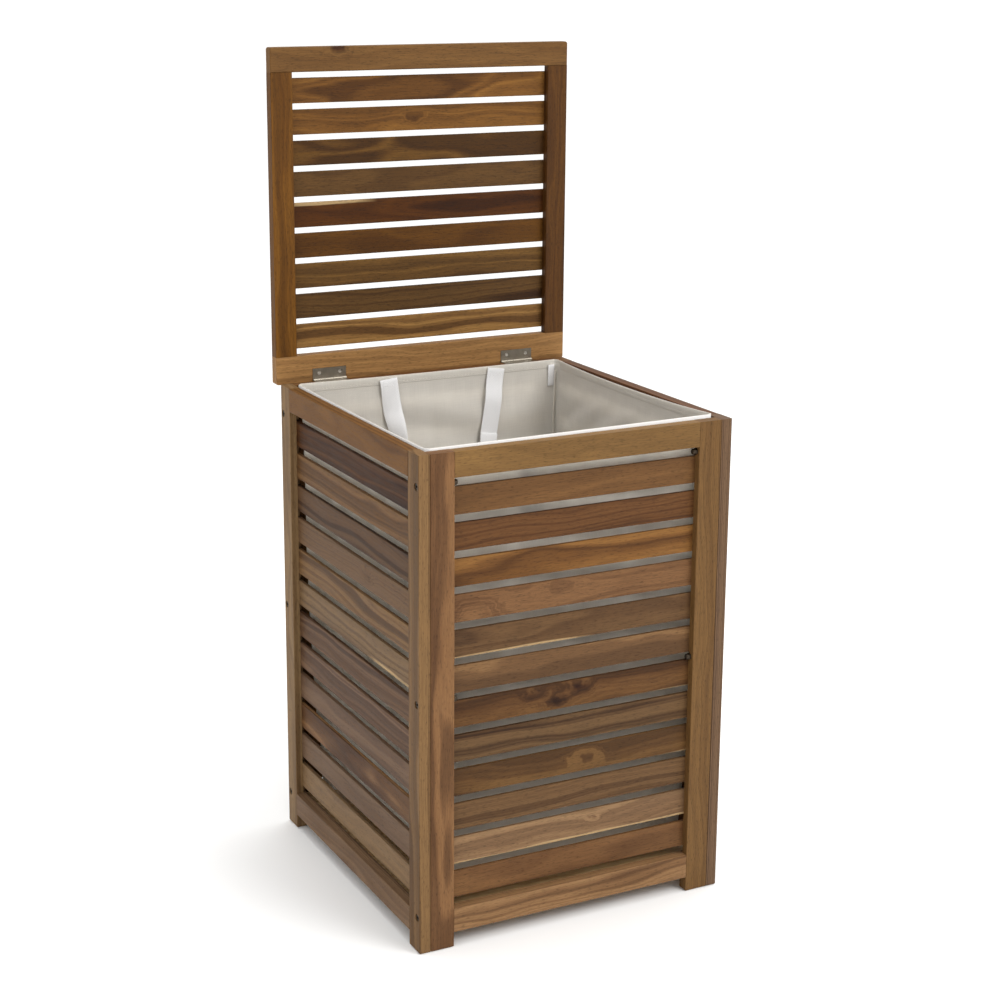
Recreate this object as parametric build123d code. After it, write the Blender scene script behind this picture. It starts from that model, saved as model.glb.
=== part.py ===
from build123d import *
import os

# Slatted wooden laundry hamper with a hinged lid and a cloth bag hung inside it.
# Units are millimetres. +X is to the right, +Y is to the back and +Z is up.
# The origin is under the middle of the whole object's box, at floor level, with the lid open.
# The lid is drawn closed and then turned about the hinge pins to where it stands open.

# ---- driving dimensions: body frame ----
body_width = 400.0
body_depth = 400.0
body_height = 585.0
stick_thickness = 14.0
front_stile_width = 29.5
side_stile_width = 28.0
rail_height = 29.5
leg_length = 18.0
edge_radius = 1.0
foot_radius = 2.0

# ---- slats of the four panels ----
slat_height = 32.0
slat_thickness = 5.0
slat_gap_wanted = 9.3
extra_gap_under_top_rail = 3.0
rebate_width = 6.0
slat_edge_radius = 0.8
fit_gap = 0.05

# ---- lid ----
lid_overhang = 4.0
lid_front_lip = 8.0
lid_rear_lip = 5.0
lid_thickness = 15.0
lid_rail_width = 30.0
lid_stile_width = 28.0
lid_slat_width = 30.5
lid_slat_gap_wanted = 7.3
lid_edge_radius = 1.5
lid_corner_radius = 3.0
lid_gap = 1.0
open_angle = 90.0

# ---- hinges ----
hinge_length = 45.0
hinge_from_stile = 1.0
hinge_leaf_width = 12.0
hinge_leaf_thickness = 1.4
hinge_leaf_gap = 0.2
hinge_knuckle_radius = 2.5
hinge_knuckle_count = 5
hinge_knuckle_gap = 0.2
hinge_pin_radius = 1.2
hinge_pin_play = 0.05
hinge_back_gap = 0.2
hinge_screw_spacing = 28.0
hinge_screw_length = 10.0
hinge_screw_radius = 1.25
hinge_screw_head_radius = 2.4
mortise_gap = 0.2
knuckle_pocket_gap = 0.3

# ---- fasteners ----
dowel_radius = 3.0
dowel_length = 24.0
dowel_spacing = 11.0
dowel_pair_drop = 4.5
lid_dowel_shift_out = 3.0
brad_radius = 0.6
brad_length = 10.0
brad_from_end = 3.0
bolt_radius = 2.0
bolt_head_radius = 4.0
bolt_head_height = 3.0
bolt_counterbore_radius = 4.5
bolt_counterbore_depth = 4.0
bolt_hex_across_flats = 3.0
bolt_hex_depth = 1.8
bolt_hole_gap = 0.1
nut_across_flats = 7.0
nut_height = 6.0
bottom_bolt_below_rail_top = 4.5
barrel_nut_radius = 4.0
barrel_nut_from_stile = 12.0
barrel_nut_length = 11.0

# ---- floor of the hamper ----
batten_width = 12.0
batten_height = 12.0
batten_bottom_above_rail_bottom = 6.0
board_thickness = 5.0
board_gap = 1.0
batten_screw_count = 3
batten_screw_length = 20.0
batten_screw_radius = 1.75
batten_screw_head_radius = 3.4

# ---- cloth bag ----
hook_tape_thickness = 1.0
hook_tape_height = 16.0
hook_tape_below_top = 6.0
hook_tape_from_corner = 30.0
bag_cloth_thickness = 1.5
bag_depth = 526.0
bag_top_below_rail_top = 2.0
hem_height = 12.0
hem_thickness = 2.5
handle_strap_width = 24.0
handle_strap_thickness = 1.6
handle_top_spacing = 154.0
handle_bottom_spacing = 124.0
handle_drop = 150.0
handle_bend_radius = 40.0
handle_centre_x = 15.0
tab_width = 10.0
tab_height = 35.0
tab_thickness = 1.2

# ---- places that follow from the sizes ----
hinge_axis_behind_back = hinge_back_gap + hinge_knuckle_radius
lid_back_when_open = hinge_axis_behind_back + lid_gap / 2 + lid_thickness
front_y = -(body_depth + lid_back_when_open) / 2
back_y = front_y + body_depth
middle_y = (front_y + back_y) / 2
left_x = -body_width / 2
right_x = body_width / 2
bottom_rail_top = leg_length + rail_height
top_rail_bottom = body_height - rail_height
hinge_axis_y = back_y + hinge_axis_behind_back
hinge_from_side = stick_thickness + front_stile_width + hinge_from_stile + hinge_length / 2
hinge_axis_z = body_height + lid_gap / 2
lid_bottom = body_height + lid_gap
lid_top = lid_bottom + lid_thickness

slat_zone = top_rail_bottom - bottom_rail_top - extra_gap_under_top_rail
slat_count = round((slat_zone - slat_gap_wanted) / (slat_height + slat_gap_wanted))
slat_gap = (slat_zone - slat_count * slat_height) / (slat_count + 1)
slat_bottoms = [bottom_rail_top + slat_gap + i * (slat_height + slat_gap) for i in range(slat_count)]
top_bolt_z = (slat_bottoms[-1] + slat_height + top_rail_bottom) / 2
middle_bolt_z = slat_bottoms[slat_count // 2] - slat_gap / 2
bottom_bolt_z = bottom_rail_top - bottom_bolt_below_rail_top


def save(shapes, name):
    """Write one node's STEP from a shape or a list of separate shapes."""
    solids = shapes if isinstance(shapes, list) else [shapes]
    flat = [solid for shape in solids for solid in shape.solids()]
    node = flat[0] if len(flat) == 1 else Compound(children=flat)
    node.label = name
    export_step(node, f"parts/{name}.step")


def block(low, high):
    """A box between two corners."""
    size = [b - a for a, b in zip(low, high)]
    centre = [(a + b) / 2 for a, b in zip(low, high)]
    return Pos(*centre) * Box(*size)


def stick(low, high, along, radius=edge_radius):
    """A planed stick whose four long edges are rounded."""
    bar = block(low, high)
    return fillet(bar.edges().filter_by(along), radius)


def rod(centre, direction, radius, length):
    """A cylinder centred on a point, along a direction."""
    return Plane(origin=centre, z_dir=direction) * Cylinder(radius, length)


def cut_all(body, tools):
    """Take every tool away from a body."""
    for tool in tools:
        body = body - tool
    return body


def to_open(shape):
    """Turn a piece of the closed lid about the hinge pins to where it stands open."""
    pin_axis = Axis((0, hinge_axis_y, hinge_axis_z), (-1, 0, 0))
    return shape.rotate(pin_axis, open_angle)


def screw(head_centre, direction, shank_radius, head_radius, length):
    """A countersunk screw: its flat head lies at head_centre and it runs along direction."""
    head_height = head_radius - shank_radius
    plane = Plane(origin=head_centre, z_dir=direction)
    head = plane * Pos(0, 0, head_height / 2) * Cone(head_radius, shank_radius, head_height)
    shank = plane * Pos(0, 0, length / 2) * Cylinder(shank_radius, length)
    slot = plane * Box(2 * head_radius, head_radius / 4, head_radius / 3)
    return head + shank - slot


def screw_hole(head_centre, direction, shank_radius, head_radius, length):
    """The countersunk hole that a screw of the same sizes sits in."""
    gap = fit_gap
    head_height = head_radius - shank_radius
    plane = Plane(origin=head_centre, z_dir=direction)
    head = plane * Pos(0, 0, head_height / 2) * Cone(head_radius + gap, shank_radius + gap, head_height)
    shank = plane * Pos(0, 0, length / 2) * Cylinder(shank_radius + gap, length + gap)
    return head + shank


# ---- the four panels, each in its own flat frame ----
# Along a panel u runs from its left end to its right end as seen from outside, v runs from its
# outer face to its inner face and z is up. "place" turns that frame to one side of the hamper.
def panel_places():
    """Each panel's name, the names of its two ends, its length, stile width and placing."""
    inner_width = body_width - 2 * stick_thickness
    return [
        ("front", ("left", "right"), inner_width, front_stile_width,
         Location((left_x + stick_thickness, front_y, 0))),
        ("back", ("right", "left"), inner_width, front_stile_width,
         Location((right_x - stick_thickness, back_y, 0), (0, 0, 180))),
        ("left", ("back", "front"), body_depth, side_stile_width,
         Location((left_x, back_y, 0), (0, 0, -90))),
        ("right", ("front", "back"), body_depth, side_stile_width,
         Location((right_x, front_y, 0), (0, 0, 90))),
    ]


def dowel_centres(length, stile):
    """Middle points of a panel's dowels, half in a stile and half in a rail.

    Each pair sits below its rail's middle, clear of the hinge screws and the connector bolts."""
    centres = []
    for rail_bottom in (leg_length, top_rail_bottom):
        middle = rail_bottom + rail_height / 2 - dowel_pair_drop
        for level in (middle - dowel_spacing / 2, middle + dowel_spacing / 2):
            for u in (stile, length - stile):
                centres.append((u, stick_thickness / 2, level))
    return centres


def brad_centres(length, stile):
    """Where the brads go through the slat ends, on the inner face."""
    inset = stile - rebate_width + brad_from_end
    levels = [bottom + slat_height / 2 for bottom in slat_bottoms]
    return [(u, stick_thickness, z) for z in levels for u in (inset, length - inset)]


def make_stile(u_low, u_high, length, stile):
    """One upright of a panel, with its rebate, dowel bores and brad holes."""
    upright = block((u_low, 0, 0), (u_high, stick_thickness, body_height))
    upright = fillet(upright.edges().group_by(Axis.Z)[0], foot_radius)
    upright = fillet(upright.edges().filter_by(Axis.Z), edge_radius)
    slat_face = stick_thickness - slat_thickness
    left = u_low == 0
    rebate_low = u_high - rebate_width if left else u_low - edge_radius
    rebate_high = u_high + edge_radius if left else u_low + rebate_width
    tools = [block((rebate_low, slat_face, bottom_rail_top),
                   (rebate_high, stick_thickness + edge_radius, top_rail_bottom))]
    for centre in dowel_centres(length, stile):
        if u_low - fit_gap <= centre[0] <= u_high + fit_gap:
            tools.append(rod(centre, (1, 0, 0), dowel_radius + fit_gap, dowel_length + 2 * fit_gap))
    for u, v, z in brad_centres(length, stile):
        if u_low <= u <= u_high:
            tools.append(rod((u, v - brad_length / 2, z), (0, 1, 0), brad_radius, brad_length))
    return cut_all(upright, tools)


def make_rail(z_low, z_high, length, stile):
    """One cross rail of a panel, with its dowel bores."""
    rail = stick((stile, 0, z_low), (length - stile, stick_thickness, z_high), Axis.X)
    tools = [rod(centre, (1, 0, 0), dowel_radius + fit_gap, dowel_length + 2 * fit_gap)
             for centre in dowel_centres(length, stile) if z_low < centre[2] < z_high]
    return cut_all(rail, tools)


def make_slats(length, stile):
    """The panel's row of thin slats, each with a brad hole at both ends."""
    inset = stile - rebate_width + fit_gap
    slats = []
    for bottom in slat_bottoms:
        slat = stick((inset, stick_thickness - slat_thickness, bottom),
                     (length - inset, stick_thickness, bottom + slat_height), Axis.X, slat_edge_radius)
        holes = [rod((u, v, z), (0, 1, 0), brad_radius, 3 * slat_thickness)
                 for u, v, z in brad_centres(length, stile) if bottom < z < bottom + slat_height]
        slats.append(cut_all(slat, holes))
    return slats


def bolt_rows():
    """Every connector bolt: head point, direction into the body, and if it ends in a barrel nut."""
    rows = []
    for side_x, inward in ((left_x, 1), (right_x, -1)):
        for y in (front_y + stick_thickness / 2, back_y - stick_thickness / 2):
            for z, barrel in ((top_bolt_z, False), (middle_bolt_z, False), (bottom_bolt_z, True)):
                rows.append(((side_x, y, z), inward, barrel))
    return rows


def bolt_reach(barrel):
    """How far a bolt's tip lies from the side's outer face."""
    stile_end = stick_thickness + front_stile_width
    return stile_end + (barrel_nut_from_stile + bolt_radius if barrel else nut_height * 0.7)


def bolt_bores():
    """The bolts' clearance holes, with a counterbore for each head."""
    bores = []
    for (x, y, z), inward, barrel in bolt_rows():
        reach = bolt_reach(barrel) + bolt_hole_gap
        hole = rod((x + inward * reach / 2, y, z), (1, 0, 0), bolt_radius + bolt_hole_gap, reach)
        sink_x = x + inward * bolt_counterbore_depth / 2
        sink = rod((sink_x, y, z), (1, 0, 0), bolt_counterbore_radius, bolt_counterbore_depth)
        bores.append(hole + sink)
    return bores


def barrel_nut_bores():
    """Cross bores for the barrel nuts, open on the rails' inner faces."""
    bores = []
    for (x, y, z), inward, barrel in bolt_rows():
        if barrel:
            nut_x = x + inward * (stick_thickness + front_stile_width + barrel_nut_from_stile)
            toward_middle = 1 if y < middle_y else -1
            inner_face = y + toward_middle * stick_thickness / 2
            depth = barrel_nut_length + fit_gap
            centre = (nut_x, inner_face - toward_middle * depth / 2, z)
            bores.append(rod(centre, (0, 1, 0), barrel_nut_radius + fit_gap, depth))
    return bores


def hinge_centres():
    """X of the middle of the left and the right hinge."""
    return [("left", left_x + hinge_from_side), ("right", right_x - hinge_from_side)]


def hinge_screw_points(z):
    """Head points of the hinge screws in one leaf."""
    y = back_y - hinge_leaf_width / 2
    return [(x + side * hinge_screw_spacing / 2, y, z) for _, x in hinge_centres() for side in (-1, 1)]


leaf_top = hinge_axis_z - hinge_leaf_gap / 2
leaf_bottom = hinge_axis_z + hinge_leaf_gap / 2
body_leaf_low = leaf_top - hinge_leaf_thickness
lid_leaf_high = leaf_bottom + hinge_leaf_thickness
body_screw_points = hinge_screw_points(leaf_top)
lid_screw_points = hinge_screw_points(leaf_bottom)
hinge_screw_sizes = (hinge_screw_radius, hinge_screw_head_radius, hinge_screw_length)


def mortises(z_low, z_high):
    """Shallow pockets, open at the back, that let the hinge leaves into a rail."""
    half = hinge_length / 2 + mortise_gap
    front = back_y - hinge_leaf_width - mortise_gap
    return [block((x - half, front, z_low), (x + half, back_y + 1, z_high)) for _, x in hinge_centres()]


def batten_screw_rows():
    """Head points and directions of the screws that hold the battens to the side rails."""
    level = leg_length + batten_bottom_above_rail_bottom + batten_height / 2
    spacing = body_depth / (batten_screw_count + 1)
    rows = []
    for side_x, outward in ((left_x + stick_thickness + batten_width, -1),
                            (right_x - stick_thickness - batten_width, 1)):
        for i in range(batten_screw_count):
            rows.append(((side_x, front_y + (i + 1) * spacing, level), (outward, 0, 0)))
    return rows


batten_screw_sizes = (batten_screw_radius, batten_screw_head_radius, batten_screw_length)


def make_body_frame():
    """Four panels of stiles, rails and slats, with dowels and brads."""
    bores = bolt_bores() + barrel_nut_bores()
    leaf_pockets = mortises(body_leaf_low, body_height + 1)
    leaf_pockets += [screw_hole(p, (0, 0, -1), *hinge_screw_sizes) for p in body_screw_points]
    batten_holes = [screw_hole(p, d, *batten_screw_sizes) for p, d in batten_screw_rows()]
    dowels = []
    brads = []
    for panel, ends, length, stile, place in panel_places():
        for end, u_low, u_high in ((ends[0], 0, stile), (ends[1], length - stile, length)):
            upright = place * make_stile(u_low, u_high, length, stile)
            save(cut_all(upright, bores), f"{panel}_{end}_stile")
        top_rail = place * make_rail(top_rail_bottom, body_height, length, stile)
        bottom_rail = place * make_rail(leg_length, bottom_rail_top, length, stile)
        if panel == "back":
            top_rail = cut_all(top_rail, leaf_pockets)
        if panel in ("front", "back"):
            bottom_rail = cut_all(bottom_rail, bores)
        else:
            bottom_rail = cut_all(bottom_rail, batten_holes)
        save(top_rail, f"{panel}_top_rail")
        save(bottom_rail, f"{panel}_bottom_rail")
        save([place * slat for slat in make_slats(length, stile)], f"{panel}_slats")
        for centre in dowel_centres(length, stile):
            dowels.append(place * rod(centre, (1, 0, 0), dowel_radius, dowel_length))
        for u, v, z in brad_centres(length, stile):
            brads.append(place * rod((u, v - brad_length / 2, z), (0, 1, 0), brad_radius, brad_length))
    save(dowels, "frame_dowels")
    save(brads, "slat_brads")


def make_connectors():
    """Bolts through the side stiles, dome nuts in the slat gaps and barrel nuts in the rails."""
    bolts = []
    dome_nuts = []
    barrel_nuts = []
    for (x, y, z), inward, barrel in bolt_rows():
        head_seat = x + inward * bolt_counterbore_depth
        tip = x + inward * bolt_reach(barrel)
        head = rod((head_seat - inward * bolt_head_height / 2, y, z), (1, 0, 0),
                   bolt_head_radius, bolt_head_height)
        shank_length = abs(tip - head_seat)
        shank = rod(((tip + head_seat) / 2, y, z), (1, 0, 0), bolt_radius, shank_length)
        head_face = Plane(origin=(head_seat - inward * bolt_head_height, y, z), z_dir=(inward, 0, 0))
        key = extrude(head_face * RegularPolygon(bolt_hex_across_flats / 2, 6, major_radius=False),
                      bolt_hex_depth)
        bolts.append(head + shank - key)
        stile_end = x + inward * (stick_thickness + front_stile_width)
        if barrel:
            toward_middle = 1 if y < middle_y else -1
            inner_face = y + toward_middle * stick_thickness / 2
            centre = (stile_end + inward * barrel_nut_from_stile,
                      inner_face - toward_middle * barrel_nut_length / 2, z)
            nut = rod(centre, (0, 1, 0), barrel_nut_radius, barrel_nut_length)
            barrel_nuts.append(nut - rod((tip - inward * bolt_radius, y, z), (1, 0, 0), bolt_radius,
                                         4 * barrel_nut_radius))
        else:
            face = Plane(origin=(stile_end, y, z), z_dir=(inward, 0, 0))
            hexagon = extrude(face * RegularPolygon(nut_across_flats / 2, 6, major_radius=False),
                              nut_height / 2)
            dome = face * Pos(0, 0, nut_height / 2) * Cylinder(nut_across_flats / 2, nut_height)
            dome = fillet(dome.edges().sort_by(Axis.X)[-1 if inward > 0 else 0], nut_height / 3)
            bore = rod(((tip + stile_end) / 2, y, z), (1, 0, 0), bolt_radius, abs(tip - stile_end))
            dome_nuts.append(hexagon + dome - bore)
    save(bolts, "connector_bolts")
    save(dome_nuts, "dome_nuts")
    save(barrel_nuts, "barrel_nuts")


def make_floor():
    """Two battens screwed to the side rails and the plywood board that lies on them."""
    low = leg_length + batten_bottom_above_rail_bottom
    high = low + batten_height
    inner_front = front_y + stick_thickness + board_gap
    inner_back = back_y - stick_thickness - board_gap
    holes = [screw_hole(p, d, *batten_screw_sizes) for p, d in batten_screw_rows()]
    for name, x in (("left", left_x + stick_thickness), ("right", right_x - stick_thickness - batten_width)):
        batten = stick((x, inner_front, low), (x + batten_width, inner_back, high), Axis.Y)
        save(cut_all(batten, holes), f"{name}_batten")
    board_x = body_width / 2 - stick_thickness - board_gap
    board = stick((-board_x, inner_front, high), (board_x, inner_back, high + board_thickness), Axis.Z)
    save(board, "bottom_board")
    save([screw(p, d, *batten_screw_sizes) for p, d in batten_screw_rows()], "batten_screws")


bag_half_x = body_width / 2 - stick_thickness - hook_tape_thickness
bag_half_y = body_depth / 2 - stick_thickness - hook_tape_thickness
bag_top = body_height - bag_top_below_rail_top
bag_bottom = bag_top - bag_depth
hem_bottom = bag_top - hem_height


def make_bag():
    """Four sewn walls and a base, hung by their hem from tape on the top rails."""
    cloth = bag_cloth_thickness
    wall_low = bag_bottom + cloth
    front, back = middle_y - bag_half_y, middle_y + bag_half_y
    left, right = -bag_half_x, bag_half_x
    save(block((left, front, bag_bottom), (right, back, wall_low)), "bag_base")
    save(block((left, front, wall_low), (right, front + cloth, hem_bottom)), "bag_front_wall")
    save(block((left, back - cloth, wall_low), (right, back, hem_bottom)), "bag_back_wall")
    side_front, side_back = front + cloth, back - cloth
    save(block((left, side_front, wall_low), (left + cloth, side_back, hem_bottom)), "bag_left_wall")
    save(block((right - cloth, side_front, wall_low), (right, side_back, hem_bottom)), "bag_right_wall")
    hem = block((left, front, hem_bottom), (right, back, bag_top))
    hem -= block((left + hem_thickness, front + hem_thickness, hem_bottom - 1),
                 (right - hem_thickness, back - hem_thickness, bag_top + 1))
    save(hem, "bag_hem")


def make_hook_tape():
    """Strips of tape on the top rails' inner faces that the hem clings to."""
    high = body_height - hook_tape_below_top
    low = high - hook_tape_height
    tape = hook_tape_thickness
    x_in, y_in = bag_half_x, bag_half_y
    end = hook_tape_from_corner
    strips = []
    for side in (-1, 1):
        y_a, y_b = sorted((middle_y + side * y_in, middle_y + side * (y_in + tape)))
        strips.append(block((-x_in + end, y_a, low), (x_in - end, y_b, high)))
        x_a, x_b = sorted((side * x_in, side * (x_in + tape)))
        strips.append(block((x_a, middle_y - y_in + end, low), (x_b, middle_y + y_in - end, high)))
    save(strips, "hook_tape")


def make_handles():
    """Two loops of webbing sewn under the hem, hanging inside the front and back walls."""
    top = hem_bottom
    bottom = top - handle_drop
    half_top, half_bottom = handle_top_spacing / 2, handle_bottom_spacing / 2
    loop = FilletPolyline((-half_top, top), (-half_bottom, bottom), (half_bottom, bottom), (half_top, top),
                          radius=handle_bend_radius)
    for name, side in (("front", -1), ("back", 1)):
        wall_face = middle_y + side * (bag_half_y - bag_cloth_thickness)
        plane = Plane(origin=(handle_centre_x, wall_face, 0), x_dir=(side, 0, 0), z_dir=(0, -side, 0))
        strap = extrude(plane * trace(loop, handle_strap_width), handle_strap_thickness)
        limit = block((-body_width, front_y, 0), (body_width, back_y, hem_bottom))
        save(strap & limit, f"bag_{name}_handle")


def make_corner_tabs():
    """A short tape tab below the hem at each corner of the bag."""
    tabs = []
    inner_x = bag_half_x - bag_cloth_thickness
    inner_y = bag_half_y - bag_cloth_thickness
    for x_side in (-1, 1):
        for y_side in (-1, 1):
            x_a, x_b = sorted((x_side * inner_x, x_side * (inner_x - tab_width)))
            y_a, y_b = sorted((middle_y + y_side * inner_y, middle_y + y_side * (inner_y - tab_thickness)))
            tabs.append(block((x_a, y_a, hem_bottom - tab_height), (x_b, y_b, hem_bottom)))
    save(tabs, "bag_corner_tabs")


# ---- lid ----
lid_left = left_x - lid_overhang
lid_right = right_x + lid_overhang
lid_front = front_y - lid_front_lip
lid_rear = back_y + lid_rear_lip
lid_opening = back_y - lid_front - 2 * lid_rail_width
lid_slat_count = round((lid_opening - lid_slat_gap_wanted) / (lid_slat_width + lid_slat_gap_wanted))
lid_slat_gap = (lid_opening - lid_slat_count * lid_slat_width) / (lid_slat_count + 1)
lid_slat_fronts = [lid_front + lid_rail_width + lid_slat_gap + i * (lid_slat_width + lid_slat_gap)
                   for i in range(lid_slat_count)]
lid_slat_bottom = lid_top - slat_thickness


def knuckle_pockets():
    """Pockets along the lid's rear edge that the hinge knuckles turn in."""
    half = hinge_length / 2 + mortise_gap
    reach = hinge_knuckle_radius + knuckle_pocket_gap
    return [block((x - half, hinge_axis_y - reach, lid_bottom - 1), (x + half, lid_rear + 1, hinge_axis_z + reach))
            for _, x in hinge_centres()]


def lid_dowel_centres():
    """Middle points of the dowels that join the lid's rails and stiles."""
    centres = []
    for y in (lid_front + lid_rail_width, back_y - lid_rail_width):
        for edge, inward in ((lid_left, 1), (lid_right, -1)):
            for share in (-1, 1):
                middle = edge + inward * (lid_stile_width / 2 - lid_dowel_shift_out)
                x = middle + share * dowel_spacing / 2
                centres.append((x, y, lid_bottom + lid_thickness / 2))
    return centres


def lid_brad_points():
    """Where the brads go through the lid slats' ends, on the top face."""
    x = lid_right - lid_stile_width + rebate_width - brad_from_end
    return [(side * x, y + lid_slat_width / 2, lid_top) for y in lid_slat_fronts for side in (-1, 1)]


def make_lid():
    """The lid's frame, slats, dowels and brads, drawn closed and turned open."""
    bores = [rod(c, (0, 1, 0), dowel_radius + fit_gap, dowel_length + 2 * fit_gap)
             for c in lid_dowel_centres()]
    brad_holes = [rod((x, y, z - brad_length / 2), (0, 0, 1), brad_radius, brad_length)
                  for x, y, z in lid_brad_points()]
    leaf_pockets = mortises(lid_bottom - 1, lid_leaf_high) + knuckle_pockets()
    leaf_pockets += [screw_hole(p, (0, 0, 1), *hinge_screw_sizes) for p in lid_screw_points]
    for name, y_low, y_high in (("front", lid_front, lid_front + lid_rail_width),
                                ("rear", back_y - lid_rail_width, lid_rear)):
        rail = block((lid_left, y_low, lid_bottom), (lid_right, y_high, lid_top))
        outer_y = rail.faces().sort_by(Axis.Y)[0 if name == "front" else -1]
        rail = fillet(outer_y.edges().filter_by(Axis.Z), lid_corner_radius)
        rail = fillet(rail.edges().filter_by(Axis.X), lid_edge_radius if name == "front" else edge_radius)
        tools = bores + (leaf_pockets if name == "rear" else [])
        save(to_open(cut_all(rail, tools)), f"lid_{name}_rail")
    y_low, y_high = lid_front + lid_rail_width, back_y - lid_rail_width
    for name, x_low, x_high, rebate_low in (
            ("left", lid_left, lid_left + lid_stile_width, lid_left + lid_stile_width - rebate_width),
            ("right", lid_right - lid_stile_width, lid_right, lid_right - lid_stile_width - edge_radius)):
        stile = stick((x_low, y_low, lid_bottom), (x_high, y_high, lid_top), Axis.Y)
        rebate = block((rebate_low, y_low, lid_slat_bottom),
                       (rebate_low + rebate_width + edge_radius, y_high, lid_top + 1))
        save(to_open(cut_all(stile, [rebate] + bores + brad_holes)), f"lid_{name}_stile")
    slat_end = lid_right - lid_stile_width + rebate_width - fit_gap
    slats = []
    for y in lid_slat_fronts:
        slat = stick((-slat_end, y, lid_slat_bottom), (slat_end, y + lid_slat_width, lid_top), Axis.X,
                     slat_edge_radius)
        slats.append(to_open(cut_all(slat, brad_holes)))
    save(slats, "lid_slats")
    dowels = [rod(c, (0, 1, 0), dowel_radius, dowel_length) for c in lid_dowel_centres()]
    save([to_open(dowel) for dowel in dowels], "lid_dowels")
    brads = [rod((x, y, z - brad_length / 2), (0, 0, 1), brad_radius, brad_length)
             for x, y, z in lid_brad_points()]
    save([to_open(brad) for brad in brads], "lid_brads")


def knuckles(x, first):
    """Alternate knuckles of one hinge, from number first, with a web to the leaf plate."""
    pitch = hinge_length / hinge_knuckle_count
    solid = None
    for i in range(first, hinge_knuckle_count, 2):
        centre_x = x - hinge_length / 2 + (i + 0.5) * pitch
        width = pitch - hinge_knuckle_gap
        barrel = rod((centre_x, hinge_axis_y, hinge_axis_z), (1, 0, 0), hinge_knuckle_radius, width)
        z_low, z_high = (body_leaf_low, leaf_top) if first == 0 else (leaf_bottom, lid_leaf_high)
        web = block((centre_x - width / 2, back_y - 1, z_low), (centre_x + width / 2, hinge_axis_y, z_high))
        knuckle = barrel + web
        solid = knuckle if solid is None else solid + knuckle
    return solid


def make_hinges():
    """Two butt hinges let into the back top rail and the lid's rear rail, with pins and screws."""
    pins = []
    for name, x in hinge_centres():
        half = hinge_length / 2
        pin_bore = rod((x, hinge_axis_y, hinge_axis_z), (1, 0, 0), hinge_pin_radius + hinge_pin_play,
                       2 * hinge_length)
        body_plate = block((x - half, back_y - hinge_leaf_width, body_leaf_low), (x + half, back_y, leaf_top))
        lid_plate = block((x - half, back_y - hinge_leaf_width, leaf_bottom),
                          (x + half, back_y, lid_leaf_high))
        body_holes = [screw_hole(p, (0, 0, -1), *hinge_screw_sizes) for p in body_screw_points]
        lid_holes = [screw_hole(p, (0, 0, 1), *hinge_screw_sizes) for p in lid_screw_points]
        save(cut_all(body_plate + knuckles(x, 0), [pin_bore] + body_holes), f"{name}_hinge_body_leaf")
        save(to_open(cut_all(lid_plate + knuckles(x, 1), [pin_bore] + lid_holes)), f"{name}_hinge_lid_leaf")
        pins.append(rod((x, hinge_axis_y, hinge_axis_z), (1, 0, 0), hinge_pin_radius, hinge_length))
    save(pins, "hinge_pins")
    save([screw(p, (0, 0, -1), *hinge_screw_sizes) for p in body_screw_points], "hinge_body_screws")
    save([to_open(screw(p, (0, 0, 1), *hinge_screw_sizes)) for p in lid_screw_points], "hinge_lid_screws")


os.makedirs("parts", exist_ok=True)
make_body_frame()
make_connectors()
make_floor()
make_hook_tape()
make_bag()
make_handles()
make_corner_tabs()
make_hinges()
make_lid()
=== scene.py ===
"""Finishes, cloth bag and studio for a slatted wooden laundry hamper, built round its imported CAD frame."""

import math

import bmesh
import bpy
from bpy.props import FloatProperty, FloatVectorProperty, IntProperty, PointerProperty
from bpy.types import Operator, Panel, PropertyGroup
from mathutils import Matrix, Vector
from mathutils.bvhtree import BVHTree


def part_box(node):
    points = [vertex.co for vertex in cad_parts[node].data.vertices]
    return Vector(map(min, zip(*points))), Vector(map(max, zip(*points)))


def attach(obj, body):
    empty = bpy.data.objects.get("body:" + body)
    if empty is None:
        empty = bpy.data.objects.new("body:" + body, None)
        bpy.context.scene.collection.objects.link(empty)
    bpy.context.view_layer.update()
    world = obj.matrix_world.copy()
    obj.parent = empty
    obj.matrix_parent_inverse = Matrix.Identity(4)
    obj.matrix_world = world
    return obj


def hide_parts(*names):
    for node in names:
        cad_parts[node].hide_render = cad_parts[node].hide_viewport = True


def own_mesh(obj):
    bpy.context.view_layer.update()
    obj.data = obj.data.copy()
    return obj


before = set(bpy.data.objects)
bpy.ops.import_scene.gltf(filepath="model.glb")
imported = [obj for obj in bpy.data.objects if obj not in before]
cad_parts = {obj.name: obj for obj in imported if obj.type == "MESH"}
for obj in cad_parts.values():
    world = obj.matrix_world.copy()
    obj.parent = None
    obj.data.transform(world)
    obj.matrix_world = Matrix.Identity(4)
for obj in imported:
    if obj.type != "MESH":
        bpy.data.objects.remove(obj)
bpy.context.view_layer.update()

bl_info = {
    "name": "Slatted Laundry Hamper",
    "version": (1, 0, 0),
    "blender": (4, 5, 0),
    "location": "3D View > Sidebar > Hamper",
    "description": "Wood, metal and cloth pieces of a slatted laundry hamper with a hinged lid",
    "category": "Object",
}

MM = 0.001

# ---- places read from the frame, in metres ----
HEM_LOW, HEM_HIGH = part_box("bag_hem")
BASE_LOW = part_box("bag_base")[0]
BACK_HANDLE_LOW, BACK_HANDLE_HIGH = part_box("bag_back_handle")
MIDDLE_Y = (HEM_LOW.y + HEM_HIGH.y) / 2
BAG_HALF = HEM_HIGH.x
RIM_Z = HEM_HIGH.z
HEM_BOTTOM = HEM_LOW.z
LID_SLATS_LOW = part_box("lid_slats")[0].z

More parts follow.
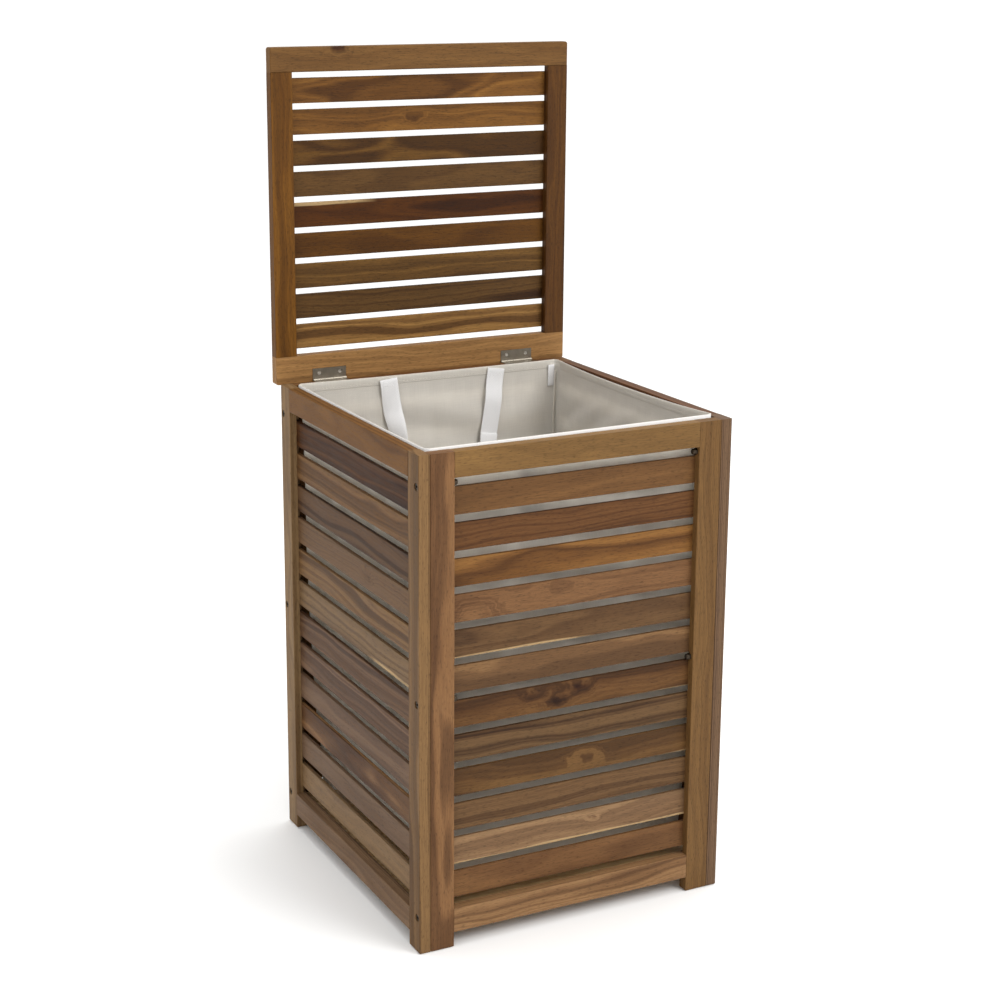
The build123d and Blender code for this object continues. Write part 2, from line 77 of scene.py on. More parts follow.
# ---- sizes that the CAD frame doesn't hold, in metres ----
SLAT_ROW_FIRST, SLAT_ROW_PITCH = 52.156 * MM, 41.308 * MM
LID_ROW_MARGIN, LID_ROW_PITCH = 3.5 * MM, 37.85 * MM
RIM_CORNER_RADIUS = 7 * MM
STRAP_WIDTH, STRAP_THICKNESS, STRAP_TOP = 24 * MM, 1.3 * MM, 583 * MM
JOIN_LOW, JOIN_HIGH = 470 * MM, 500 * MM
TAB_WIDTH, TAB_THICKNESS = 9 * MM, 2.0 * MM
SEAM_WIDTH, SEAM_THICKNESS = 5 * MM, 1.4 * MM
RIM_POINTS = 240
STRAP_POINTS = 72
SETTLE_FRAMES = 30


def colour(code):
    """Turn an sRGB hex code into linear red, green, blue and alpha."""
    channels = [int(code[i:i + 2], 16) / 255 for i in (1, 3, 5)]
    linear = [c / 12.92 if c <= 0.04045 else ((c + 0.055) / 1.055) ** 2.4 for c in channels]
    return (*linear, 1.0)


class HamperWoodSettings(PropertyGroup):
    """Oiled acacia sticks and slats"""

    ring_spacing: FloatProperty(
        name="Ring spacing", description="Distance between growth rings", default=5.5 * MM, min=1 * MM,
        unit="LENGTH")
    fibre_width: FloatProperty(
        name="Fibre width", description="Width of one bundle of fibres", default=1.1 * MM, min=0.2 * MM,
        unit="LENGTH")
    sapwood: FloatVectorProperty(
        name="Sapwood", description="Pale wood left along some edges", subtype="COLOR", size=4, min=0, max=1,
        default=colour("#b0946a"))
    tone_lift: FloatProperty(
        name="Tone lift", description="Brightness of every acacia tone", default=1.0, min=0.1, max=4.0,
        subtype="FACTOR")


class HamperClothSettings(PropertyGroup):
    """Cotton bag with its hem, handles and tabs"""

    cloth: FloatVectorProperty(
        name="Cloth", description="Unbleached cotton of the bag", subtype="COLOR", size=4, min=0, max=1,
        default=colour("#ebe6dd"))
    webbing: FloatVectorProperty(
        name="Webbing", description="White cotton tape of the handles", subtype="COLOR", size=4, min=0, max=1,
        default=colour("#e0dfdf"))
    loop_tape: FloatVectorProperty(
        name="Loop tape", description="White tape outside the hem", subtype="COLOR", size=4, min=0, max=1,
        default=colour("#efeeec"))
    cloth_thickness: FloatProperty(
        name="Cloth thickness", description="Thickness of the bag cloth", default=0.7 * MM, min=0.2 * MM,
        unit="LENGTH")
    right_sag: FloatProperty(
        name="Right rim sag", description="How far the right rim hangs below the others", default=4 * MM, min=0,
        unit="LENGTH")
    corner_radius: FloatProperty(
        name="Corner radius", description="Rounding of the bag's corners below the hem", default=22 * MM,
        min=5 * MM, unit="LENGTH")
    cells: IntProperty(
        name="Cells", description="Cells of the cloth mesh along one side", default=36, min=12, max=60)


class HamperMetalSettings(PropertyGroup):
    """Hinges, screws and bolts"""

    nickel: FloatVectorProperty(
        name="Nickel", description="Plated hinge leaves", subtype="COLOR", size=4, min=0, max=1,
        default=colour("#958d80"))
    bolt: FloatVectorProperty(
        name="Bolt", description="Darkened zinc of the connector bolts", subtype="COLOR", size=4, min=0, max=1,
        default=colour("#4b4238"))


class HamperStageSettings(PropertyGroup):
    """Floor, lights and camera"""

    floor_radius: FloatProperty(
        name="Floor radius", description="Radius of the pale floor", default=40.0, min=2.0, unit="LENGTH")
    world_strength: FloatProperty(
        name="Sky strength", description="Brightness of the white surroundings", default=1.6, min=0.0, max=4.0)
    key_power: FloatProperty(
        name="Key power", description="Power of the key light", default=55.0, min=0.0, unit="POWER")
    lens: FloatProperty(
        name="Lens", description="Focal length", default=70.2, min=20.0, max=200.0)


# ---- node and mesh helpers ----
def add(tree, kind, links=None, stops=None, **settings):
    """Add one shader node with its settings, and link or set its inputs by name or number."""
    made = tree.nodes.new("ShaderNode" + kind)
    for name, value in settings.items():
        setattr(made, name, value)
    if stops:
        points = made.color_ramp.elements
        while len(points) < len(stops):
            points.new(1.0)
        for point, (position, tone) in zip(points, sorted(stops)):
            point.position = position
            point.color = tone
    for key, value in (links or {}).items():
        shown = [s for s in made.inputs if s.enabled and s.name == key]
        socket = made.inputs[key] if isinstance(key, int) else shown[0]
        if isinstance(value, bpy.types.Node):
            value = [s for s in value.outputs if s.enabled][0]
        if isinstance(value, bpy.types.NodeSocket):
            tree.links.new(value, socket)
        else:
            socket.default_value = value
    return made


def new_material(name, **constants):
    """Start a material, with its constant values on the shader's own sockets."""
    material = bpy.data.materials.new(name)
    material.use_nodes = True
    tree = material.node_tree
    tree.nodes.clear()
    shader = add(tree, "BsdfPrincipled", {key.replace("_", " "): value for key, value in constants.items()})
    add(tree, "OutputMaterial", {"Surface": shader})
    return material, tree, shader


def plug(tree, shader, **sources):
    """Link nodes into the shader's inputs."""
    for name, source in sources.items():
        if isinstance(source, bpy.types.Node):
            source = [s for s in source.outputs if s.enabled][0]
        tree.links.new(source, shader.inputs[name.replace("_", " ")])


def dress(node_names, material):
    """Give CAD nodes a material in every slot."""
    for name in node_names:
        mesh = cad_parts[name].data
        mesh.materials.clear()
        mesh.materials.append(material)


def make_piece(name, bm, material, smooth=True):
    """Turn a bmesh into an object in the scene."""
    mesh = bpy.data.meshes.new(name)
    bm.to_mesh(mesh)
    bm.free()
    mesh.materials.append(material)
    if smooth:
        mesh.shade_smooth()
    piece = bpy.data.objects.new(name, mesh)
    bpy.context.scene.collection.objects.link(piece)
    return piece


def on_body(slot, *pieces):
    """Let pieces ride on the body; the slot argument is not used."""
    for piece in pieces:
        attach(piece, "body")


def thicken(piece, thickness, offset=0.0):
    """Give a sheet its thickness."""
    wall = piece.modifiers.new("Thickness", "SOLIDIFY")
    wall.thickness = thickness
    wall.offset = offset
    return wall


def round_edges(piece, width):
    """Round the sharp edges of a tape."""
    edge = piece.modifiers.new("Selvedge", "BEVEL")
    edge.width = width
    edge.segments = 2
    edge.limit_method = "ANGLE"


def flat_uv(bm):
    """Lay the UV map of thread on its own x and z, in metres."""
    uv = bm.loops.layers.uv.new("UVMap")
    for f in bm.faces:
        for loop in f.loops:
            loop[uv].uv = (loop.vert.co.x, loop.vert.co.z)


# ---- acacia ----
# Tones run from the lowest row to the highest, as light heartwood between the darker rings.
FRONT_TONES = ["#735233", "#84684c", "#624930", "#664a2a", "#5d462e", "#5d4023",
               "#74573a", "#61482f", "#715135", "#77532b", "#5b3c21", "#68492a"]
# The left panel's tones are each slat's own colour, made greyer and cooler than the other panels' by a painted cool
# cast of the shade on that side.
LEFT_TONES = ["#7f674c", "#6a5442", "#93714e", "#6a5341", "#6b523f", "#614936",
              "#725b41", "#72573a", "#654d37", "#553e2a", "#6c4f31", "#4c2e13"]
RIGHT_TONES = ["#634429", "#533925", "#715034", "#5d3f27", "#6b4b2e", "#66472d",
               "#563c26", "#735435", "#61442a", "#503722", "#6c4c2f", "#5e4128"]
BACK_TONES = ["#6b4b2e", "#5d4028", "#66482d", "#533a24", "#715234", "#604429",
              "#694a30", "#583b24", "#745434", "#5e4128", "#64462d", "#6e4e30"]
FRONT_STREAKS = [0.35, 0.4, 0.7, 0.7, 0.75, 0.8, 0.6, 0.75, 0.4, 1.0, 1.0, 0.35]
LEFT_STREAKS = [0.5, 0.4, 0.8, 0.5, 0.6, 0.9, 0.4, 0.7, 0.5, 0.9, 0.6, 0.8]
RIGHT_STREAKS = [0.4, 0.9, 0.5, 0.7, 0.4, 0.6, 0.9, 0.5, 0.7, 0.8, 0.4, 0.6]
BACK_STREAKS = [0.6, 0.8, 0.4, 0.9, 0.5, 0.7, 0.4, 0.8, 0.6, 0.5, 0.9, 0.4]
LID_STREAKS = [0.9, 0.9, 0.5, 0.4, 0.8, 0.5, 0.9, 0.5, 0.9]
LID_TONES = ["#8b693c", "#523a1d", "#674a23", "#5a390f", "#492806",
             "#533a1d", "#593d18", "#744f22", "#765124"]


def acacia(name, axes, first, pitch, tones, seed, streaks, sapwood=(), knots=()):
    """Planed and oiled acacia: gold to dark brown rings in long wavy stripes, dark mineral streaks and open pores.

    axes are the directions along the grain, across the face and into the board; a row is one slat of the panel.
    tones and streaks hold one colour and one share of dark streaks for each row. sapwood holds
    (row, edge, width, start, end), and knots hold (row, along, across, radius, darkness), in metres.
    """
    wood = bpy.context.scene.hamper_wood
    material, tree, shader = new_material(name, IOR=1.5, Specular_IOR_Level=0.14)
    place = add(tree, "SeparateXYZ", {0: add(tree, "TexCoord").outputs["Object"]})
    along, across, depth = (place.outputs[axis] for axis in axes)
    offset = add(tree, "Math", {0: across, 1: first}, operation="SUBTRACT")
    row = add(tree, "Math", {0: add(tree, "Math", {0: offset, 1: pitch}, operation="DIVIDE")}, operation="FLOOR")
    inside = add(tree, "Math", {0: offset, 1: pitch}, operation="FLOORED_MODULO")
    face = add(tree, "Math", {0: inside, 1: pitch / 2}, operation="SUBTRACT")
    board = add(tree, "Math", {0: row, 1: seed * 3.7}, operation="ADD")

    # Each board is sawn at its own distance from the middle of the tree and at its own slant to it.
    chance = add(tree, "TexWhiteNoise", {"W": board}, noise_dimensions="1D").outputs["Color"]
    pith = add(tree, "VectorMath", {0: chance, 1: (0.120, 0.034, 0.05), 2: (-0.060, 0.006, -0.025)},
               operation="MULTIPLY_ADD")
    pith_part = add(tree, "SeparateXYZ", {0: pith})
    slant = add(tree, "Math", {0: along, 1: pith_part.outputs["Z"]}, operation="MULTIPLY")
    side = add(tree, "Math", {0: add(tree, "Math", {0: face, 1: slant}, operation="SUBTRACT"),
                              1: pith_part.outputs["X"]}, operation="SUBTRACT")
    far = add(tree, "Math", {0: depth, 1: pith_part.outputs["Y"]}, operation="ADD")
    wander_at = add(tree, "CombineXYZ", {"X": add(tree, "Math", {0: along, 1: 4.5}, operation="MULTIPLY"),
                                         "Y": add(tree, "Math", {0: face, 1: 18.0}, operation="MULTIPLY"),
                                         "Z": add(tree, "Math", {0: board, 1: 7.3}, operation="MULTIPLY")})
    wander = add(tree, "TexNoise", {"Vector": wander_at, "Scale": 1.0, "Detail": 2.0}).outputs["Color"]
    wander_part = add(tree, "SeparateXYZ", {0: wander})
    bent = add(tree, "VectorMath", {0: wander, 1: (0.011, 0.009, 0.0), 2: (-0.0055, -0.0045, 0.0)},
               operation="MULTIPLY_ADD")
    spot = add(tree, "VectorMath", {0: add(tree, "CombineXYZ", {"X": side, "Y": far}), 1: bent}, operation="ADD")
    radius = add(tree, "VectorMath", {0: spot}, operation="LENGTH").outputs["Value"]

    # A knot pushes the rings out round it and is dark in its middle.
    knot_dark = None
    if knots:
        fray_at = add(tree, "CombineXYZ", {"X": along, "Y": face, "Z": row})
        fray = add(tree, "TexNoise", {"Vector": fray_at, "Scale": 70.0, "Detail": 2.0}).outputs["Color"]
        frayed = add(tree, "VectorMath", {0: fray, 1: (0.020, 0.006, 0.0), 2: (-0.010, -0.003, 0.0)},
                     operation="MULTIPLY_ADD")
    for knot_row, knot_along, knot_across, knot_radius, darkness in knots:
        gap = add(tree, "CombineXYZ", {
            "X": add(tree, "Math", {0: add(tree, "Math", {0: along, 1: knot_along}, operation="SUBTRACT"), 1: 0.55},
                     operation="MULTIPLY"),
            "Y": add(tree, "Math", {0: face, 1: knot_across}, operation="SUBTRACT"),
            "Z": add(tree, "Math", {0: row, 1: float(knot_row)}, operation="SUBTRACT")})
        gap = add(tree, "VectorMath", {0: gap, 1: frayed}, operation="ADD")
        reach = add(tree, "VectorMath", {0: gap}, operation="LENGTH").outputs["Value"]
        swell = add(tree, "MapRange", {"Value": reach, "From Min": 0.0, "From Max": knot_radius * 2.6,
                                       "To Min": 1.0, "To Max": 0.0}, interpolation_type="SMOOTHERSTEP")
        radius = add(tree, "Math", {0: swell, 1: 0.6 * knot_radius, 2: radius}, operation="MULTIPLY_ADD")
        core = add(tree, "Math", {0: swell, 1: 5.0}, operation="POWER")
        core = add(tree, "Math", {0: core, 1: darkness}, operation="MULTIPLY")
        knot_dark = core if knot_dark is None else add(tree, "Math", {0: core, 1: knot_dark}, operation="MAXIMUM")

    ring_at = add(tree, "Math", {0: radius, 1: 1 / wood.ring_spacing,
                                 2: add(tree, "Math", {0: board, 1: 13.7}, operation="MULTIPLY")},
                  operation="MULTIPLY_ADD")
    rings = add(tree, "TexNoise", {"W": ring_at, "Scale": 1.0, "Detail": 3.0, "Roughness": 0.62},
                noise_dimensions="1D").outputs["Fac"]
    band_at = add(tree, "Math", {0: ring_at, 1: 0.42}, operation="MULTIPLY")
    bands = add(tree, "TexNoise", {"W": band_at, "Scale": 1.0, "Detail": 2.0},
                noise_dimensions="1D").outputs["Fac"]

    # Fibres and pores run with the grain; both are drawn a little coarser than real so that they show.
    fibre_at = add(tree, "CombineXYZ", {
        key: add(tree, "Math", {0: part, 1: 1 / (size * wood.fibre_width)}, operation="MULTIPLY")
        for key, part, size in (("X", along, 28), ("Y", across, 1), ("Z", depth, 1))})
    fibre = add(tree, "TexNoise", {"Vector": fibre_at, "Scale": 1.0, "Detail": 2.0}).outputs["Fac"]
    pore_at = add(tree, "VectorMath", {0: fibre_at, 1: (5.0, 1.2, 1.2)}, operation="MULTIPLY")
    pore_noise = add(tree, "TexNoise", {"Vector": pore_at, "Scale": 1.0, "Detail": 0.0}).outputs["Fac"]
    pores = add(tree, "MapRange", {"Value": pore_noise, "From Min": 0.62, "From Max": 0.72, "To Min": 0.0,
                                   "To Max": 1.0})

    base = add(tree, "ValToRGB", {0: add(tree, "Math", {0: row, 1: 1 / len(tones), 2: 0.5 / len(tones)},
                                         operation="MULTIPLY_ADD")},
               stops=[(i / len(tones), (*colour(tone)[:3], share))
                      for i, (tone, share) in enumerate(zip(tones, streaks))])
    base.color_ramp.interpolation = "CONSTANT"
    ring_tone = add(tree, "ValToRGB", {0: rings}, stops=[
        (0.33, (0.34, 0.27, 0.22, 1)), (0.44, (0.72, 0.64, 0.56, 1)), (0.51, (1.12, 1.08, 0.98, 1)),
        (0.59, (0.82, 0.75, 0.67, 1)), (0.68, (0.44, 0.36, 0.30, 1))])
    figure = add(tree, "Math", {0: base.outputs["Alpha"], 1: 0.65, 2: 0.35}, operation="MULTIPLY_ADD")
    grained = add(tree, "Mix", {"Factor": figure, "A": base, "B": ring_tone}, data_type="RGBA",
                  blend_type="MULTIPLY")
    patch = add(tree, "MapRange", {"Value": wander_part.outputs["Z"], "From Min": 0.40, "From Max": 0.60,
                                   "To Min": 0.15, "To Max": 1.0}, interpolation_type="SMOOTHSTEP")
    streak = add(tree, "MapRange", {"Value": bands, "From Min": 0.50, "From Max": 0.585, "To Min": 0.0,
                                    "To Max": 1.0}, interpolation_type="SMOOTHSTEP")
    streak = add(tree, "Math", {0: streak, 1: base.outputs["Alpha"]}, operation="MULTIPLY")
    streak = add(tree, "Math", {0: streak, 1: patch}, operation="MULTIPLY")
    shown = add(tree, "Mix", {"Factor": streak, "A": grained, "B": (0.36, 0.27, 0.21, 1)}, data_type="RGBA",
                blend_type="MULTIPLY")
    for sap_row, edge, width, start, end in sapwood:
        in_row = add(tree, "Math", {0: row, 1: float(sap_row), 2: 0.1}, operation="COMPARE")
        rise = add(tree, "Math", {0: face, 1: float(edge)}, operation="MULTIPLY")
        ragged = add(tree, "Math", {0: wander_part.outputs["X"], 1: 0.012, 2: rise}, operation="MULTIPLY_ADD")
        border = 0.022 - width
        near = add(tree, "MapRange", {"Value": ragged, "From Min": border, "From Max": border + 0.0015,
                                      "To Min": 0.0, "To Max": 0.75}, interpolation_type="SMOOTHSTEP")
        span = add(tree, "MapRange", {"Value": along, "From Min": start, "From Max": start + 0.03, "To Min": 0.0,
                                      "To Max": 1.0})
        stop = add(tree, "MapRange", {"Value": along, "From Min": end - 0.03, "From Max": end, "To Min": 1.0,
                                      "To Max": 0.0})
        share = near
        for part in (in_row, span, stop):
            share = add(tree, "Math", {0: share, 1: part}, operation="MULTIPLY")
        shown = add(tree, "Mix", {"Factor": share, "A": shown, "B": wood.sapwood[:]}, data_type="RGBA")
    if knot_dark is not None:
        shown = add(tree, "Mix", {"Factor": knot_dark, "A": shown, "B": (0.30, 0.20, 0.14, 1)}, data_type="RGBA",
                    blend_type="MULTIPLY")
    light = add(tree, "MapRange", {"Value": fibre, "From Min": 0.3, "From Max": 0.7,
                                   "To Min": 0.84 * wood.tone_lift, "To Max": 1.14 * wood.tone_lift})
    light = add(tree, "Math", {0: pores, 1: -0.28 * wood.tone_lift, 2: light}, operation="MULTIPLY_ADD")
    finished = add(tree, "HueSaturation", {"Value": light, "Color": shown})
    roughness = add(tree, "MapRange", {"Value": fibre, "From Min": 0.3, "From Max": 0.7, "To Min": 0.48,
                                       "To Max": 0.64})
    height = add(tree, "Math", {0: fibre, 1: pores}, operation="SUBTRACT")
    relief = add(tree, "Bump", {"Strength": 0.35, "Distance": 0.25 * MM, "Height": height})
    plug(tree, shader, Base_Color=finished, Roughness=roughness, Normal=relief)
    return material


class HAMPER_OT_wood(Operator):
    """Finish every stile, rail and slat in oiled acacia"""

    bl_idname = "hamper.wood"
    bl_label = "Acacia frame"

    def execute(self, context):
        panels = {
            "front": ("XZY", FRONT_TONES, 1.0, FRONT_STREAKS,
                      [(1, -1, 0.0035, -0.2, 0.2), (7, -1, 0.0022, -0.2, 0.03), (5, -1, 0.0018, 0.06, 0.2),
                       (3, -1, 0.0018, 0.08, 0.2)],
                      [(5, 0.005, 0.006, 0.008, 1.0), (5, -0.020, -0.006, 0.007, 0.9),
                       (5, -0.055, 0.006, 0.006, 0.6), (3, 0.020, 0.001, 0.008, 0.25),
                       (8, -0.130, -0.004, 0.014, 0.0), (8, -0.02, 0.012, 0.010, 0.0),
                       (1, 0.03, 0.004, 0.004, 0.2)]),
            "left": ("YZX", LEFT_TONES, 2.0, LEFT_STREAKS,
                     [(6, -1, 0.004, -0.21, -0.05)], [(8, -0.05, 0.0, 0.007, 0.4)]),
            "right": ("YZX", RIGHT_TONES, 3.0, RIGHT_STREAKS,
                      [(2, 1, 0.004, -0.2, 0.05)], [(7, 0.04, 0.002, 0.007, 0.7)]),
            "back": ("XZY", BACK_TONES, 4.0, BACK_STREAKS,
                     [(8, 1, 0.004, -0.1, 0.2)], [(4, 0.06, -0.002, 0.008, 0.5)]),
        }
        for panel, (axes, tones, seed, streaks, sapwood, knots) in panels.items():
            dress([f"{panel}_slats"],
                  acacia(f"acacia_{panel}_slats", axes, SLAT_ROW_FIRST, SLAT_ROW_PITCH, tones, seed, streaks,
                         sapwood, knots))
        dress(["lid_slats"],
              acacia("acacia_lid_slats", "XZY", LID_SLATS_LOW - LID_ROW_MARGIN, LID_ROW_PITCH, LID_TONES, 5.0,
                     LID_STREAKS, [(4, 1, 0.005, -0.2, -0.06)], [(7, -0.01, 0.0, 0.005, 0.5)]))

        upright, level_x, level_y = "ZXY", "XZY", "YZX"
        sticks = {
            "front_left_stile": (upright, "#785739", 0.45), "front_right_stile": (upright, "#694d2c", 0.45),
            "left_front_stile": ("ZYX", "#775b3b", 0.40), "right_front_stile": ("ZYX", "#67503c", 0.45),
            "left_back_stile": ("ZYX", "#836a4b", 0.45), "right_back_stile": ("ZYX", "#6f5132", 0.45),
            "back_left_stile": (upright, "#6c4d2e", 0.45), "back_right_stile": (upright, "#654629", 0.45),
            "front_top_rail": (level_x, "#7d5f37", 0.30), "front_bottom_rail": (level_x, "#876747", 0.5),
            "back_top_rail": (level_x, "#6d4927", 0.45), "back_bottom_rail": (level_x, "#735130", 0.5),
            "left_top_rail": (level_y, "#6e4c26", 0.5), "left_bottom_rail": (level_y, "#775e47", 0.4),
            "right_top_rail": (level_y, "#5f3e24", 0.5), "right_bottom_rail": (level_y, "#735133", 0.4),
            "lid_front_rail": (level_x, "#6c4d29", 0.30), "lid_rear_rail": (level_x, "#946f44", 0.30),
            "lid_left_stile": (upright, "#6a4514", 0.45), "lid_right_stile": (upright, "#503211", 0.5),
            "left_batten": (level_y, "#735233", 0.4), "right_batten": (level_y, "#735233", 0.4),
        }
        for seed, (name, (axes, tone, streaks)) in enumerate(sticks.items(), start=11):
            low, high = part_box(name)
            middle = (low + high) / 2
            centre = {"X": middle.x, "Y": middle.y, "Z": middle.z}[axes[1]]
            knots = [(0, -0.115, 0.013, 0.006, 1.0)] if name == "lid_front_rail" else []
            dress([name], acacia(f"acacia_{name}", axes, centre - 0.5, 1.0, [tone, tone], float(seed),
                                 [streaks, streaks], (), knots))
        return {"FINISHED"}


class HAMPER_OT_metal(Operator):
    """Finish the hinges, screws, bolts and brads"""

    bl_idname = "hamper.metal"
    bl_label = "Hinges and fasteners"

    def execute(self, context):
        metal = context.scene.hamper_metal
        # Pressed nickel-plated steel: a soft warm shine with fine rubbing marks along the leaf.
        # Zinc-plated steel, darkened: dull grey-brown with cloudy patches.
        finishes = {
            "nickel_plate": (metal.nickel[:], 0.30, 0.42, (300.0, 1500.0, 1500.0),
                             ["left_hinge_body_leaf", "right_hinge_body_leaf", "left_hinge_lid_leaf",
                              "right_hinge_lid_leaf", "hinge_pins"]),
            "bright_nickel": (colour("#e6e2da"), 0.18, 0.30, (500.0, 500.0, 500.0),
                              ["hinge_body_screws", "hinge_lid_screws"]),
            "dark_zinc": (metal.bolt[:], 0.38, 0.55, (900.0, 900.0, 900.0),
                          ["connector_bolts", "dome_nuts", "barrel_nuts"]),
            "bright_zinc": (colour("#a8a49a"), 0.30, 0.45, (700.0, 700.0, 700.0), ["batten_screws", "slat_brads",
                                                                                  "lid_brads"]),
        }
        for name, (tone, smooth, dull, scale, nodes) in finishes.items():
            material, tree, shader = new_material(name, Metallic=1.0)
            place = add(tree, "TexCoord").outputs["Object"]
            marks_at = add(tree, "VectorMath", {0: place, 1: scale}, operation="MULTIPLY")
            marks = add(tree, "TexNoise", {"Vector": marks_at, "Scale": 1.0, "Detail": 3.0}).outputs["Fac"]
            cloud = add(tree, "TexNoise", {"Vector": place, "Scale": 160.0, "Detail": 2.0}).outputs["Fac"]
            worn = tuple(c * 0.62 for c in tone[:3]) + (1.0,)
            tint = add(tree, "Mix", {"Factor": cloud, "A": worn, "B": tone}, data_type="RGBA")
            rough = add(tree, "MapRange", {"Value": marks, "From Min": 0.3, "From Max": 0.7, "To Min": smooth,
                                           "To Max": dull})
            relief = add(tree, "Bump", {"Strength": 0.2, "Distance": 0.08 * MM, "Height": marks})
            plug(tree, shader, Base_Color=tint, Roughness=rough, Normal=relief)
            dress(nodes, material)
        return {"FINISHED"}


class HAMPER_OT_hidden(Operator):
    """Finish the bottom board, the dowels and the hook tape"""

    bl_idname = "hamper.hidden"
    bl_label = "Board, dowels and hook tape"

    def execute(self, context):
        # Birch plywood is pale with a faint wide figure; beech dowels are a little pinker with short flecks.
        # Hook tape is woven nylon with a field of small stiff hooks, so its colour breaks into dots.
        finishes = {
            "birch_plywood": ("#c7a777", "#ab8657", (14.0, 120.0, 900.0), 0.6, 0.3, ["bottom_board"]),
            "beech_dowel": ("#c89d6f", "#a97a4e", (300.0, 300.0, 1200.0), 0.55, 0.3,
                            ["frame_dowels", "lid_dowels"]),
            "nylon_hook_tape": ("#6b5139", "#3a2a1c", (700.0, 700.0, 700.0), 0.8, 1.0, ["hook_tape"]),
        }
        for name, (light, dark, scale, rough, relief_strength, nodes) in finishes.items():
            material, tree, shader = new_material(name, Roughness=rough)
            place = add(tree, "TexCoord").outputs["Object"]
            at = add(tree, "VectorMath", {0: place, 1: scale}, operation="MULTIPLY")
            figure = add(tree, "TexNoise", {"Vector": at, "Scale": 1.0, "Detail": 3.0}).outputs["Fac"]
            tint = add(tree, "ValToRGB", {0: figure}, stops=[(0.38, colour(dark)), (0.6, colour(light))])
            relief = add(tree, "Bump", {"Strength": relief_strength, "Distance": 0.2 * MM, "Height": figure})
            plug(tree, shader, Base_Color=tint, Normal=relief)
            dress(nodes, material)
        return {"FINISHED"}


# ---- cloth ----
def woven(name, tone, thread, contrast, translucent=0.0, slub=0.0):
    """Plain-woven cotton on the piece's own UV map in metres, with crossing threads, slubs and a soft sheen.

    Real threads are about 0.4 mm apart; they are drawn as coarse as thread says, so that they show.
    """
    material, tree, shader = new_material(name, Roughness=0.92, Specular_IOR_Level=0.2, Sheen_Weight=0.25,
                                          Sheen_Roughness=0.5)
    uv_map = add(tree, "TexCoord").outputs["UV"]
    uv = add(tree, "SeparateXYZ", {0: uv_map})
    waves = []
    for axis, other in (("X", "Y"), ("Y", "X")):
        turn = add(tree, "Math", {0: uv.outputs[axis], 1: 2 * math.pi / thread}, operation="MULTIPLY")
        cross = add(tree, "Math", {0: uv.outputs[other], 1: math.pi / thread}, operation="MULTIPLY")
        ridge = add(tree, "Math", {0: turn}, operation="SINE")
        lift = add(tree, "Math", {0: cross}, operation="COSINE")
        waves.append(add(tree, "Math", {0: ridge, 1: lift}, operation="MULTIPLY"))
    weave = add(tree, "Math", {0: waves[0], 1: waves[1]}, operation="MAXIMUM")
    yarns = []
    for stretch in ((40.0, 900.0, 1.0), (900.0, 40.0, 1.0)):
        at = add(tree, "VectorMath", {0: uv_map, 1: stretch}, operation="MULTIPLY")
        yarns.append(add(tree, "TexNoise", {"Vector": at, "Scale": 1.0, "Detail": 2.0}).outputs["Fac"])
    yarn = add(tree, "Math", {0: yarns[0], 1: yarns[1]}, operation="ADD")
    shade = add(tree, "MapRange", {"Value": yarn, "From Min": 0.7, "From Max": 1.3, "To Min": 1.0 - slub,
                                   "To Max": 1.0})
    shade = add(tree, "Math", {0: weave, 1: contrast, 2: shade}, operation="MULTIPLY_ADD")
    tint = add(tree, "HueSaturation", {"Value": shade, "Color": tone})
    height = add(tree, "Math", {0: yarn, 1: 0.6, 2: weave}, operation="MULTIPLY_ADD")
    relief = add(tree, "Bump", {"Strength": 0.35, "Distance": 0.2 * MM, "Height": height})
    plug(tree, shader, Base_Color=tint, Normal=relief)
    if translucent:
        through = add(tree, "BsdfTranslucent", {"Color": tint, "Normal": relief})
        mixed = add(tree, "MixShader", {0: translucent, 1: shader, 2: through})
        output = [n for n in tree.nodes if n.type == "OUTPUT_MATERIAL"][0]
        tree.links.new(mixed.outputs[0], output.inputs["Surface"])
    return material


def round_corner(x, y, half, radius):
    """Move a point of a square of half-width half so that the square's corners get a radius."""
    inner = half - radius
    dx, dy = max(abs(x) - inner, 0.0), max(abs(y) - inner, 0.0)
    if dx <= 0 or dy <= 0:
        return x, y
    scale = max(dx, dy) / math.hypot(dx, dy)
    return math.copysign(inner + dx * scale, x), math.copysign(inner + dy * scale, y)


# How far the rim stands above the hem's own height at the corners, and how far it dips between them.
CORNER_RISE = {(-1, -1): 5.0 * MM, (1, -1): 6.5 * MM, (-1, 1): 5.0 * MM, (1, 1): 4.0 * MM}
SIDE_DIP = {"front": 0.3 * MM, "left": 1.5 * MM, "back": 1.0 * MM}


def rim_shift(x, y, cloth):
    """How far the rim moves in from the wall and up at a place round it; the right side hangs lowest."""
    if abs(x) > abs(y):
        side, along_side = ("right" if x > 0 else "left"), y / BAG_HALF
        ends = CORNER_RISE[(1 if x > 0 else -1, -1)], CORNER_RISE[(1 if x > 0 else -1, 1)]
    else:
        side, along_side = ("back" if y > 0 else "front"), x / BAG_HALF
        ends = CORNER_RISE[(-1, 1 if y > 0 else -1)], CORNER_RISE[(1, 1 if y > 0 else -1)]
    share = min(1.0, max(0.0, (along_side + 1) / 2))
    bow = max(0.0, 1 - abs(along_side) ** 2.4)
    dip = cloth.right_sag if side == "right" else SIDE_DIP[side]
    return (3 * MM if side == "right" else 0.5 * MM) * bow, ends[0] + (ends[1] - ends[0]) * share - dip * bow


def extrude(bm, edges):
    """Extrude open edges, and give back the new points and the new open edges."""
    made = bmesh.ops.extrude_edge_only(bm, edges=edges)["geom"]
    return ([g for g in made if isinstance(g, bmesh.types.BMVert)],
            [g for g in made if isinstance(g, bmesh.types.BMEdge) and g.is_boundary])


